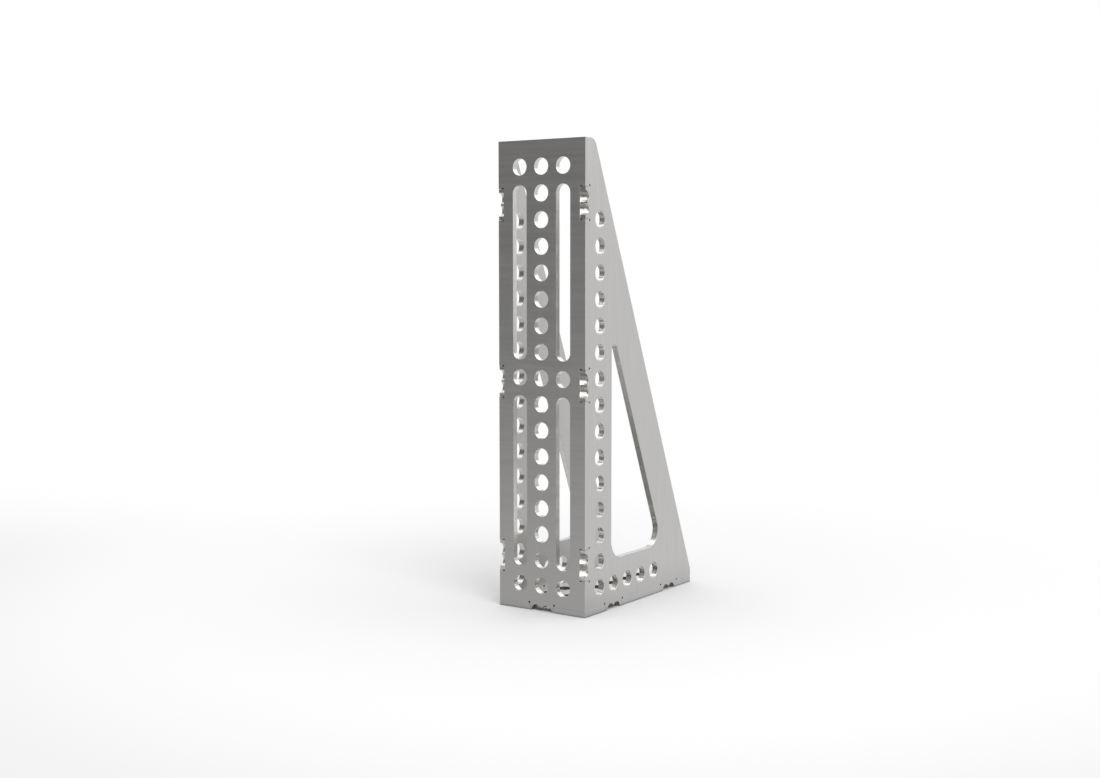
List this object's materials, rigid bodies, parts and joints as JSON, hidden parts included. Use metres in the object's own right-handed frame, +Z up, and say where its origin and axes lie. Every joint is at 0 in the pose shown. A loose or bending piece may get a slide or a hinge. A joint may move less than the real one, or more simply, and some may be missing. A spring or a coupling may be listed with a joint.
{
  "type": "welding table square",
  "caption": "Tall right-angled fixture square for a welding table: perforated and slotted front plate, triangular side plates with windows, drilled base plate.",
  "frame": {"origin": "middle of the foot, on the table", "axes": "+Z up along the height; -Y out of the perforated front face; +X to the right for someone who looks at that face"},
  "size_m": [0.1, 0.2, 0.45],
  "materials": {
    "plate_steel": "brushed mill steel, laser-cut edges",
    "weld_steel": "as-welded bead, lightly rippled"
  },
  "bodies": {
    "root": {"front_plate": "plate_steel", "left_side_plate": "plate_steel", "right_side_plate": "plate_steel", "base_plate": "plate_steel", "left_corner_welds": "weld_steel", "right_corner_welds": "weld_steel", "left_foot_welds": "weld_steel", "right_foot_welds": "weld_steel", "sill_welds": "weld_steel"}
  },
  "joints": []
}
